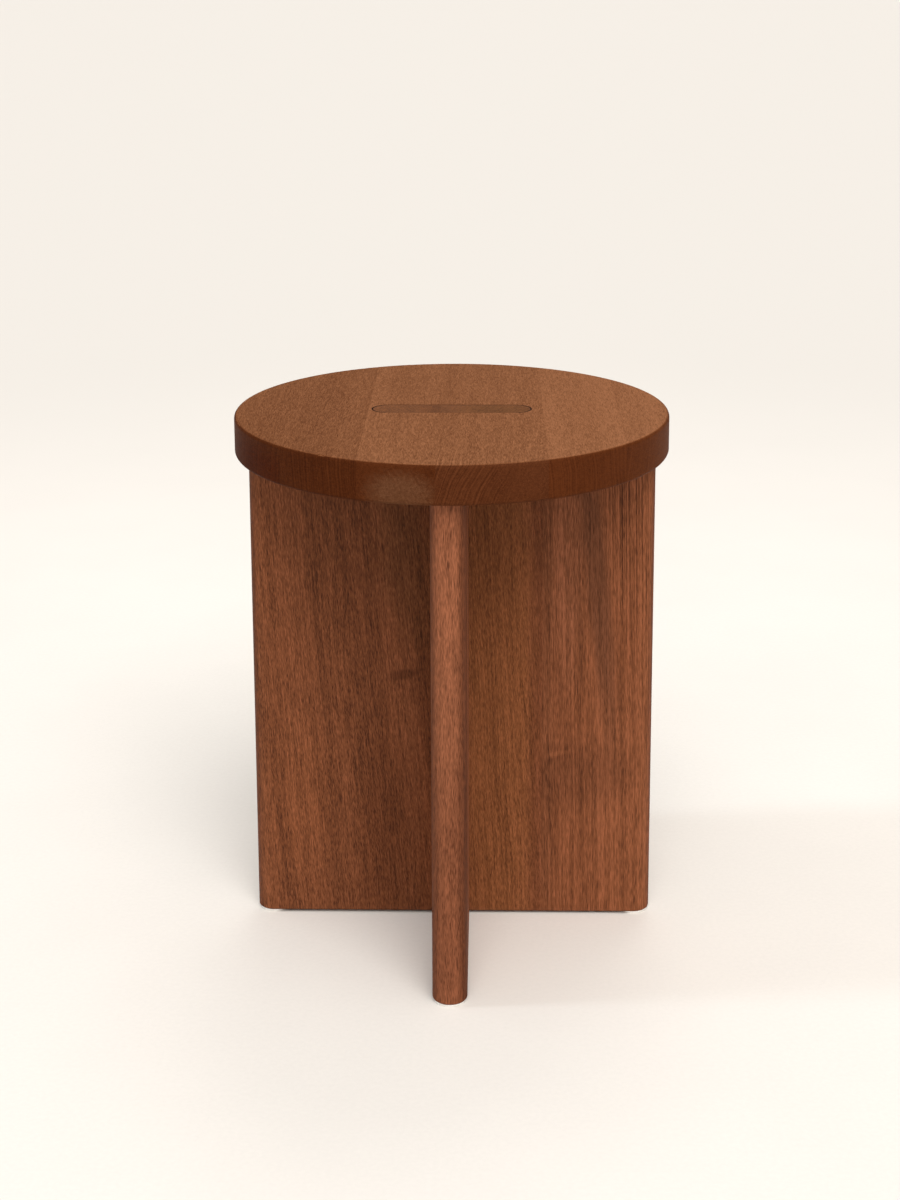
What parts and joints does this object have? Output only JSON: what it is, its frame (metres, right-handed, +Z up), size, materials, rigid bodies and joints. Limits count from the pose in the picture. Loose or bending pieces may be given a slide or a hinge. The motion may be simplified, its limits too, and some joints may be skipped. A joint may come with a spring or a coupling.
{
  "type": "stool",
  "caption": "Round-topped wooden stool on two plank panels that cross, with a through tenon showing in the seat and thin glides under the panels.",
  "frame": {"origin": "on the floor, under the centre of the round seat", "axes": "+Z up, +X to the stool's right along the wide panel and the tenon, +Y to the rear; the front fin points along -Y"},
  "size_m": [0.36, 0.36, 0.447],
  "materials": {
    "seat_wood": "oiled, satin",
    "panel_wood": "oiled, satin",
    "fin_wood": "oiled, satin",
    "dowel_wood": "bare",
    "glide_nylon": "matt white nylon",
    "nail_steel": "bright zinc"
  },
  "bodies": {
    "root": {"seat_stave_1": "seat_wood", "seat_stave_2": "seat_wood", "seat_stave_3": "seat_wood", "seat_stave_4": "seat_wood", "seat_stave_5": "seat_wood", "seat_stave_6": "seat_wood", "panel_stave_1": "panel_wood", "panel_stave_2": "panel_wood", "panel_stave_3": "panel_wood", "panel_stave_4": "panel_wood", "front_fin_inner": "fin_wood", "front_fin_outer": "fin_wood", "rear_fin_inner": "fin_wood", "rear_fin_outer": "fin_wood", "cross_dowels": "dowel_wood", "seat_dowels": "dowel_wood", "glide_left": "glide_nylon", "glide_right": "glide_nylon", "glide_front": "glide_nylon", "glide_rear": "glide_nylon", "glide_nails": "nail_steel"}
  },
  "joints": []
}
